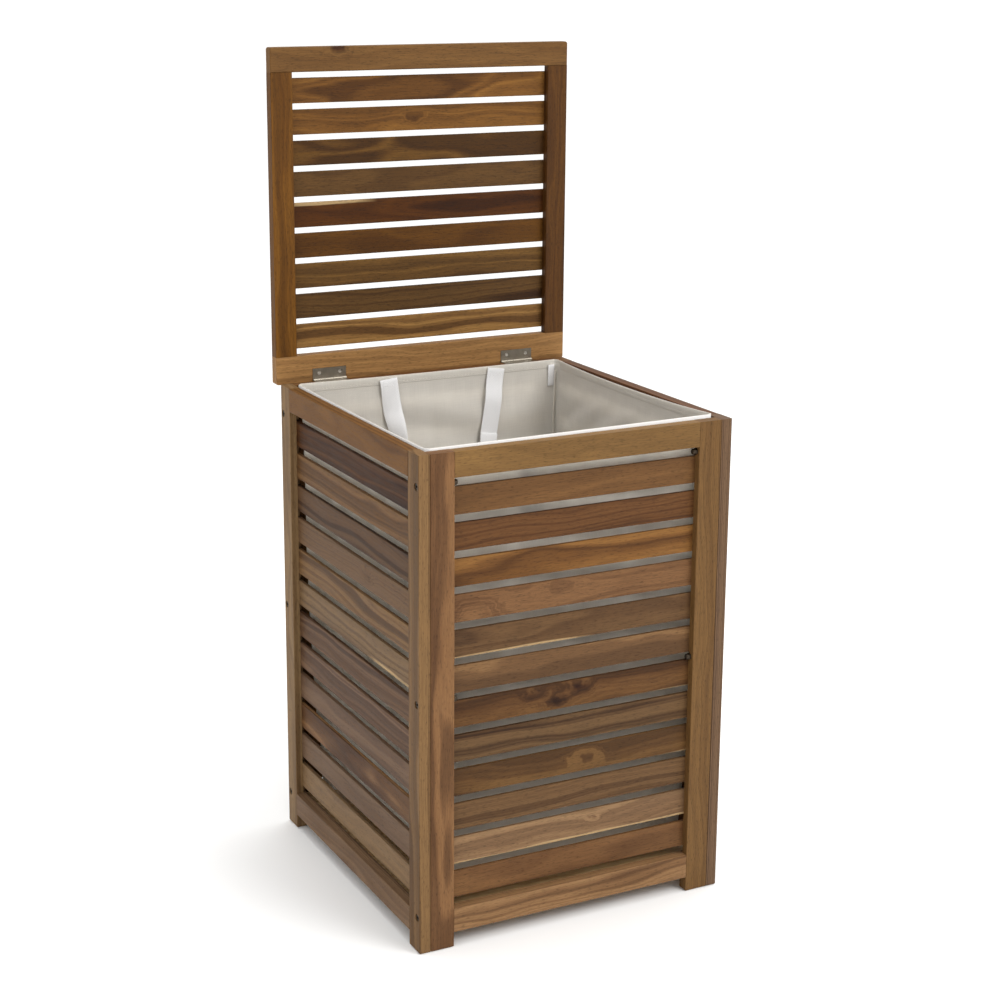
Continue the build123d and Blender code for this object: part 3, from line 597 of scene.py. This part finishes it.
def wall_uv(bm, limit):
    """Lay the UV map on z and the level run of a wall, or on x and y of a floor, in metres."""
    uv = bm.loops.layers.uv.new("UVMap")
    for f in bm.faces:
        flat, facing_x = abs(f.normal.z) > 0.5, abs(f.normal.x) > limit
        for loop in f.loops:
            p = loop.vert.co
            loop[uv].uv = (p.x, p.y) if flat else ((p.y if facing_x else p.x), p.z)


def shaped_bag(cloth):
    """Bag as a bmesh, one open shell with rounded corners; also its pinned points and corner columns."""
    n = cloth.cells
    rings = round((RIM_Z - BASE_LOW.z) / (2 * BAG_HALF / n))
    step = (RIM_Z - 1 * MM - BASE_LOW.z - 1 * MM) / rings
    half = BAG_HALF - 1.2 * MM
    bm = bmesh.new()
    bmesh.ops.create_grid(bm, x_segments=n, y_segments=n, size=half)
    bmesh.ops.translate(bm, verts=bm.verts, vec=(0, 0, BASE_LOW.z + 1 * MM))
    edges = [e for e in bm.edges if e.is_boundary]
    for _ in range(rings):
        verts, edges = extrude(bm, edges)
        bmesh.ops.translate(bm, verts=verts, vec=(0, 0, step))
    bmesh.ops.recalc_face_normals(bm, faces=bm.faces)
    wall_uv(bm, 0.5)
    bm.verts.ensure_lookup_table()
    corners = [[] for _ in range(4)]
    pinned = []
    top = BASE_LOW.z + 1 * MM + rings * step
    for v in bm.verts:
        if abs(abs(v.co.x) - half) < 1e-5 and abs(abs(v.co.y) - half) < 1e-5:
            corners[2 * (v.co.x > 0) + (v.co.y > 0)].append(v.index)
        if v.co.z > top - 1.5 * step:
            pinned.append(v.index)
    for v in bm.verts:
        below = (top - v.co.z) / (60 * MM)
        ease = min(1.0, max(0.0, below))
        radius = RIM_CORNER_RADIUS + (cloth.corner_radius - RIM_CORNER_RADIUS) * ease * ease * (3 - 2 * ease)
        x, y = round_corner(v.co.x, v.co.y, half, radius)
        low = max(0.0, 1 - (v.co.z - BASE_LOW.z) / (22 * MM))
        pull = 1 - 0.03 * low * low
        inward, rise = rim_shift(x, y, cloth)
        rise = min(rise, 0.5 * MM)
        fade = max(0.0, 1 - (top - v.co.z) / (160 * MM)) ** 1.5
        x *= pull - inward * fade / BAG_HALF * (abs(x) > abs(y))
        y *= pull - inward * fade / BAG_HALF * (abs(y) >= abs(x))
        v.co = (x, y + MIDDLE_Y, v.co.z + rise * fade)
    for column in corners:
        column.sort(key=lambda i: bm.verts[i].co.z)
    return bm, pinned, corners


def settle(piece, pinned):
    """Let the cloth hang from its pinned rim, and keep the settled shape as the mesh."""
    group = piece.vertex_groups.new(name="rim")
    group.add(pinned, 1.0, "REPLACE")
    hung = piece.modifiers.new("Hang", "CLOTH")
    cloth = hung.settings
    cloth.quality = 5
    cloth.mass = 0.35
    cloth.tension_stiffness = 12
    cloth.compression_stiffness = 8
    cloth.shear_stiffness = 4
    cloth.bending_stiffness = 0.8
    cloth.air_damping = 2.0
    cloth.shrink_min = -0.022
    cloth.vertex_group_mass = "rim"
    hung.collision_settings.use_collision = False
    hung.point_cache.frame_start = 1
    hung.point_cache.frame_end = 40
    scene = bpy.context.scene
    for number in range(1, SETTLE_FRAMES + 1):
        scene.frame_set(number)
    graph = bpy.context.evaluated_depsgraph_get()
    settled = [v.co.copy() for v in piece.evaluated_get(graph).data.vertices]
    piece.modifiers.remove(hung)
    scene.frame_set(1)
    limit = BAG_HALF - 0.4 * MM
    for v, place in zip(piece.data.vertices, settled):
        place.x = min(limit, max(-limit, place.x))
        place.y = MIDDLE_Y + min(limit, max(-limit, place.y - MIDDLE_Y))
        place.z = max(BASE_LOW.z + 0.8 * MM, place.z)
        v.co = place


def crease(piece):
    """Press soft waves into the hung walls: level ones at the front and back, slanting ones at the sides."""
    for v in piece.data.vertices:
        x, y, z = v.co.x, v.co.y - MIDDLE_Y, v.co.z
        across, out = (x, y) if abs(y) > abs(x) else (y, x)
        if abs(out) < 0.9 * BAG_HALF:
            continue
        edge = max(0.0, 1 - (abs(across) / BAG_HALF) ** 4)
        calm = edge * min(1.0, max(0.0, (HEM_BOTTOM - z) / (50 * MM))) * min(1.0, (z - BASE_LOW.z) / (60 * MM))
        if out == y:
            turn = z / (62 * MM) + 0.35 * math.sin(across * 14) + 0.5
            depth = 5.5 * MM
        else:
            turn = (z + 0.75 * across) / (48 * MM) + 0.3 * math.sin(z * 22)
            depth = 7 * MM
        press = math.copysign(depth * calm * (0.5 + 0.5 * math.sin(2 * math.pi * turn)), out)
        v.co[1 if out == y else 0] -= press


class HAMPER_OT_bag(Operator):
    """Hang the cotton bag inside the frame as one sheet of cloth"""

    bl_idname = "hamper.bag"
    bl_label = "Cotton bag"

    def execute(self, context):
        cloth = context.scene.hamper_cloth
        bm, pinned, corners = shaped_bag(cloth)
        material = woven("cotton_canvas", cloth.cloth[:], 1.5 * MM, 0.02, translucent=0.4, slub=0.07)
        bag = make_piece("cotton_bag", bm, material)
        settle(bag, pinned)
        crease(bag)
        seams = []
        for number, column in enumerate(corners, start=1):
            stations = []
            for i in column[1:-1]:
                place = bag.data.vertices[i].co
                inward = (Vector((0, MIDDLE_Y, place.z)) - place).normalized()
                stations.append((place + inward * 3 * MM, inward))
            seams.append(ribbon(f"corner_seam_{number}", stations, SEAM_WIDTH, SEAM_THICKNESS, material))
        smooth = bag.modifiers.new("Smooth", "SUBSURF")
        smooth.levels = smooth.render_levels = 1
        thicken(bag, cloth.cloth_thickness)
        on_body("cotton_cloth", bag, *seams)
        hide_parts("bag_base", "bag_front_wall", "bag_back_wall", "bag_left_wall", "bag_right_wall")
        return {"FINISHED"}


def stitch_row(bm, path, normal_of, length=3.2 * MM, gap=1.4 * MM, width=0.5 * MM):
    """Add short raised stitches along a path of points."""
    done = 0.0
    wanted = 0.0
    for a, b in zip(path, path[1:]):
        run = (b - a).length
        while wanted <= done + run:
            t = (wanted - done) / run
            at = a.lerp(b, t)
            ahead = (b - a).normalized()
            out = normal_of(at)
            side = ahead.cross(out).normalized()
            turn = Matrix((ahead, side, out)).transposed().to_4x4()
            size = Matrix.Diagonal((length / 2, width / 2, width / 2, 1))
            bmesh.ops.create_icosphere(bm, subdivisions=1, radius=1.0, matrix=Matrix.Translation(at) @ turn @ size)
            wanted += length + gap
        done += run


def rim_path(cloth, inset, z):
    """Points round the rim of the bag at a height below its top, inset from the outside."""
    points = []
    half = BAG_HALF - inset
    for i in range(RIM_POINTS + 1):
        angle = 2 * math.pi * (i + 0.5) / RIM_POINTS
        c, s = math.cos(angle), math.sin(angle)
        scale = half / max(abs(c), abs(s))
        x, y = round_corner(c * scale, s * scale, half, RIM_CORNER_RADIUS)
        inward, rise = rim_shift(x, y, cloth)
        if abs(x) > abs(y):
            x -= math.copysign(inward, x)
        else:
            y -= math.copysign(inward, y)
        points.append(Vector((x, y + MIDDLE_Y, z + rise)))
    return points


class HAMPER_OT_hem(Operator):
    """Fold and stitch the hem round the rim of the bag"""

    bl_idname = "hamper.hem"
    bl_label = "Hem"

    def execute(self, context):
        cloth = context.scene.hamper_cloth
        material = woven("cotton_loop_tape", cloth.loop_tape[:], 1.3 * MM, 0.02, slub=0.03)
        canvas = bpy.data.materials["cotton_canvas"]
        path = rim_path(cloth, 0.3 * MM, RIM_Z - 0.6 * MM)[:-1]
        bm = bmesh.new()
        bmesh.ops.create_circle(bm, segments=RIM_POINTS, radius=BAG_HALF)
        ring = sorted(bm.verts, key=lambda v: math.atan2(v.co.y, v.co.x) % (2 * math.pi))
        for v, p in zip(ring, path):
            v.co = p
        edges = list(bm.edges)
        for _ in range(4):
            verts, edges = extrude(bm, edges)
            for v in verts:
                v.co.z -= (v.co.z - HEM_LOW.z) * 0.28
        bmesh.ops.recalc_face_normals(bm, faces=bm.faces)
        wall_uv(bm, 0.7)
        hem = make_piece("bag_hem_binding", bm, material)
        hem.data.materials.append(canvas)
        fold = thicken(hem, 1.6 * MM, -1.0)
        fold.material_offset = fold.material_offset_rim = 1
        round_edges(hem, 0.6 * MM)
        thread = bmesh.new()
        inside = [Vector((p.x, p.y, HEM_LOW.z + 6.5 * MM + 0.2 * (p.z - HEM_LOW.z)))
                  for p in rim_path(cloth, 2.0 * MM, HEM_LOW.z)]

        def towards_middle(p):
            x, y = p.x, p.y - MIDDLE_Y
            return Vector((-math.copysign(1, x), 0, 0)) if abs(x) > abs(y) else Vector((0, -math.copysign(1, y), 0))

        stitch_row(thread, inside, towards_middle)
        flat_uv(thread)
        stitches = make_piece("bag_hem_stitches", thread, canvas)
        on_body("cotton_webbing", hem, stitches)
        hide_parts("bag_hem")
        for piece in (hem, stitches):
            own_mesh(piece)
        return {"FINISHED"}


def strap_route(count):
    """Points of a hanging loop of webbing in its own plane, from one sewn end to the other."""
    top, bottom = STRAP_TOP, BACK_HANDLE_LOW.z + 12 * MM
    half_top = (BACK_HANDLE_HIGH.x - BACK_HANDLE_LOW.x) / 2 - 12 * MM
    half_low = half_top - 12 * MM
    bend_z = bottom + 48 * MM
    route = []
    for i in range(count + 1):
        t = i / count
        if t < 0.32:
            k = t / 0.32
            route.append((-half_top + (half_top - half_low) * k, top + (bend_z - top) * k))
        elif t > 0.68:
            k = (1 - t) / 0.32
            route.append((half_top - (half_top - half_low) * k * 1.5, top + (bend_z - top) * k))
        else:
            angle = math.pi + math.pi * (t - 0.32) / 0.36
            lean = 0.5 * (half_top - half_low) * (t - 0.32) / 0.36
            route.append((half_low * math.cos(angle) - lean, bend_z + (bend_z - bottom) * math.sin(angle)))
    return route


def ribbon(name, stations, width, thickness, material):
    """A flat tape through (place, width direction) stations, thickened, with its UV in metres along and across."""
    count = len(stations) - 1
    bm = bmesh.new()
    bmesh.ops.create_grid(bm, x_segments=count, y_segments=4, size=0.5)
    uv = bm.loops.layers.uv.new("UVMap")
    run = [0.0]
    for (a, _), (b, _) in zip(stations, stations[1:]):
        run.append(run[-1] + (b - a).length)
    for f in bm.faces:
        for loop in f.loops:
            p = loop.vert.co
            loop[uv].uv = (run[round((p.x + 0.5) * count)], p.y * width)
    for v in bm.verts:
        place, across = stations[round((v.co.x + 0.5) * count)]
        v.co = place + across * v.co.y * width
    tape = make_piece(name, bm, material)
    thicken(tape, thickness)
    round_edges(tape, 0.4 * MM)
    return tape


class HAMPER_OT_handles(Operator):
    """Sew the two webbing handles and the four corner tabs inside the bag"""

    bl_idname = "hamper.handles"
    bl_label = "Handles and tabs"

    def execute(self, context):
        cloth = context.scene.hamper_cloth
        material = woven("cotton_webbing", cloth.webbing[:], 2.0 * MM, 0.03, slub=0.03)
        graph = context.evaluated_depsgraph_get()
        bag = bpy.data.objects["cotton_bag"]
        wall = BVHTree.FromObject(bag, graph)
        centre_x = (BACK_HANDLE_LOW.x + BACK_HANDLE_HIGH.x) / 2
        count = STRAP_POINTS
        thread = bmesh.new()
        for name, side in (("front", -1), ("back", 1)):
            route = strap_route(count)
            clear = []
            for x, z in route:
                reach = 0.0
                for shift in (-11 * MM, 0.0, 11 * MM):
                    start = Vector((centre_x + side * x + shift, MIDDLE_Y, min(z, 0.568)))
                    hit = wall.ray_cast(start, Vector((0, side, 0)))[0]
                    if hit is not None:
                        reach = max(reach, BAG_HALF - abs(hit.y - MIDDLE_Y))
                clear.append(reach)
            stations = []
            for i, (x, z) in enumerate(route):
                near = clear[max(0, i - 4):i + 5]
                rest = max(near)
                t = i / count
                flip = (t - 0.02) / 0.34 if t < 0.5 else (0.73 - t) / 0.17
                flip = min(1.0, max(0.0, flip))
                flip = flip * flip * (3 - 2 * flip)
                before, after = route[max(0, i - 1)], route[min(count, i + 1)]
                ahead = Vector((after[0] - before[0], 0, after[1] - before[1])).normalized()
                level = Vector((ahead.z, 0, -ahead.x))
                turn = flip * math.pi / 2
                across = level * math.cos(turn) + Vector((0, 1, 0)) * math.sin(turn)
                off = max(rest, 3.0 * MM) + 1.6 * MM + 12.5 * MM * math.sin(turn) ** 1.5
                place = Vector((x, BAG_HALF - off, z))
                stations.append((place, across))
            upper = [i for i, (x, z) in enumerate(route) if x > 0 and z > JOIN_LOW]
            lower = [i for i, (x, z) in enumerate(route) if not (x > 0 and z > JOIN_HIGH)]
            parts = [("upper", upper, 0.0), ("lower", lower, 1.5 * MM)]
            for part, chosen, lift in parts:
                own = []
                for i in chosen:
                    place, across = stations[i]
                    over = lift if route[i][0] > 0 and route[i][1] > 0.43 else 0.0
                    at = Vector((centre_x + side * place.x, MIDDLE_Y + side * (place.y - over), place.z))
                    own.append((at, Vector((side * across.x, side * across.y, across.z))))
                tape = ribbon(f"{name}_handle_{part}", own, STRAP_WIDTH, STRAP_THICKNESS, material)
                on_body("cotton_webbing", tape)
                if part == "lower":
                    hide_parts(f"bag_{name}_handle")
            out = Vector((0, -side, 0))
            ends = [(stations[2][0], 6 * MM), (stations[-3][0], 6 * MM)]
            for place, tall in ends:
                for dz in (-tall, tall * 0.2):
                    y = MIDDLE_Y + side * (place.y - 0.8 * MM)
                    x = centre_x + side * place.x
                    row = [Vector((x - 9 * MM, y, place.z + dz)), Vector((x + 9 * MM, y, place.z + dz))]
                    stitch_row(thread, row, lambda p: out, 2.2 * MM, 1.2 * MM, 0.5 * MM)
        for i, (x_side, y_side) in enumerate([(-1, -1), (-1, 1), (1, -1), (1, 1)]):
            y = MIDDLE_Y + y_side * (BAG_HALF - 3.6 * MM)
            x = x_side * (BAG_HALF - 11 * MM)
            fold = [Vector((x, y, z)) for z in (0.580, 0.576, 0.571, 0.566, 0.561, 0.556, 0.552)]
            stations = [(p + Vector((0, -y_side * 0.6 * MM * (k % 2), 0)), Vector((1, 0, 0)))
                        for k, p in enumerate(fold)]
            tape = ribbon(f"corner_tab_{i + 1}", stations, TAB_WIDTH, TAB_THICKNESS, material)
            on_body("cotton_webbing", tape)
            if i == 0:
                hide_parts("bag_corner_tabs")
        flat_uv(thread)
        on_body("cotton_webbing", make_piece("handle_stitches", thread, material))

        # The cut is a square base with a wall on each side: five panels of a cross.
        side, deep = 2 * BAG_HALF, RIM_Z - BASE_LOW.z
        return {"FINISHED"}


class HAMPER_OT_stage(Operator):
    """Lay the pale floor and set the soft studio lights and the camera"""

    bl_idname = "hamper.stage"
    bl_label = "Floor, lights and camera"

    def execute(self, context):
        stage = context.scene.hamper_stage
        scene = context.scene
        scene.view_settings.view_transform = "Standard"
        bm = bmesh.new()
        bmesh.ops.create_circle(bm, cap_ends=True, segments=96, radius=stage.floor_radius)
        bmesh.ops.translate(bm, verts=bm.verts, vec=(0, 0, -0.2 * MM))
        # Matt painted board: an even pale surface that only takes soft shadows.
        material, tree, shader = new_material("matt_white_floor", Roughness=0.9, Specular_IOR_Level=0.1,
                                              Base_Color=colour("#f7f7f6"))
        floor = make_piece("floor", bm, material, smooth=False)

        world = bpy.data.worlds.new("soft_white")
        world.use_nodes = True
        sky = world.node_tree
        background = sky.nodes["Background"]
        background.inputs["Strength"].default_value = stage.world_strength
        towards = add(sky, "SeparateXYZ", {0: add(sky, "TexCoord").outputs["Generated"]})
        # White at the horizon, dimmer just above it and brightest overhead, and brighter on the right.
        rise = add(sky, "ValToRGB", {0: towards.outputs["Z"]}, stops=[
            (0.0, (1, 1, 1, 1)), (0.03, (1, 1, 1, 1)), (0.06, (0.33, 0.33, 0.33, 1)), (0.4, (0.5, 0.5, 0.5, 1)),
            (1.0, (1, 1, 1, 1))])
        lean = add(sky, "Math", {0: towards.outputs["X"], 1: 0.3, 2: 1.0}, operation="MULTIPLY_ADD")
        glow = add(sky, "Mix", {"Factor": 1.0, "A": rise, "B": add(sky, "CombineXYZ", {"X": lean, "Y": lean,
                                                                                     "Z": lean})},
                   data_type="RGBA", blend_type="MULTIPLY")
        sky.links.new(glow.outputs[2], background.inputs["Color"])
        scene.world = world

        target = Vector((0, 0, 0.5))
        lights = [("key", (1.3, -2.6, 2.6), 1.8, stage.key_power), ("fill", (-2.6, -1.2, 1.6), 2.0, 11.0),
                  ("top", (0.2, 0.4, 3.2), 2.2, 20.0)]
        for name, place, size, power in lights:
            lamp = bpy.data.lights.new(name, "AREA")
            lamp.shape = "DISK"
            lamp.size = size
            lamp.energy = power
            holder = bpy.data.objects.new(name, lamp)
            holder.location = place
            holder.rotation_euler = (target - Vector(place)).to_track_quat("-Z", "Y").to_euler()
            scene.collection.objects.link(holder)

        lens = bpy.data.cameras.new("camera")
        lens.lens = stage.lens
        lens.sensor_width = 36.0
        lens.shift_x, lens.shift_y = 0.06, -0.06
        lens.clip_end = 200.0
        camera = bpy.data.objects.new("camera", lens)
        camera.location = (-1.060, -2.027, 1.098)
        camera.rotation_euler = (math.radians(90 - 13.84), 0, math.radians(-25.97))
        scene.collection.objects.link(camera)
        scene.camera = camera
        return {"FINISHED"}


class HAMPER_PT_pieces(Panel):
    """Sidebar list of the hamper's sizes, colours and pieces"""

    bl_label = "Laundry hamper"
    bl_idname = "HAMPER_PT_pieces"
    bl_space_type = "VIEW_3D"
    bl_region_type = "UI"
    bl_category = "Hamper"

    def draw(self, context):
        layout = self.layout
        for group in SETTINGS:
            values = getattr(context.scene, group)
            box = layout.box()
            for name in type(values).__annotations__:
                box.prop(values, name)
        for operator in OPERATORS:
            layout.operator(operator.bl_idname)


SETTINGS = {
    "hamper_wood": HamperWoodSettings,
    "hamper_cloth": HamperClothSettings,
    "hamper_metal": HamperMetalSettings,
    "hamper_stage": HamperStageSettings,
}
OPERATORS = (HAMPER_OT_wood, HAMPER_OT_metal, HAMPER_OT_hidden, HAMPER_OT_bag, HAMPER_OT_hem, HAMPER_OT_handles,
             HAMPER_OT_stage)


def register():
    """Register the settings, operators and panel."""
    for cls in (*SETTINGS.values(), *OPERATORS, HAMPER_PT_pieces):
        bpy.utils.register_class(cls)
    for name, cls in SETTINGS.items():
        setattr(bpy.types.Scene, name, PointerProperty(type=cls))


def unregister():
    """Take the settings, operators and panel away again."""
    for name in SETTINGS:
        delattr(bpy.types.Scene, name)
    for cls in reversed((*SETTINGS.values(), *OPERATORS, HAMPER_PT_pieces)):
        bpy.utils.unregister_class(cls)


def main():
    """Register everything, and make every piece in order."""
    register()
    for operator in OPERATORS:
        prefix, name = operator.bl_idname.split(".")
        getattr(getattr(bpy.ops, prefix), name)()


if __name__ == "__main__":
    main()
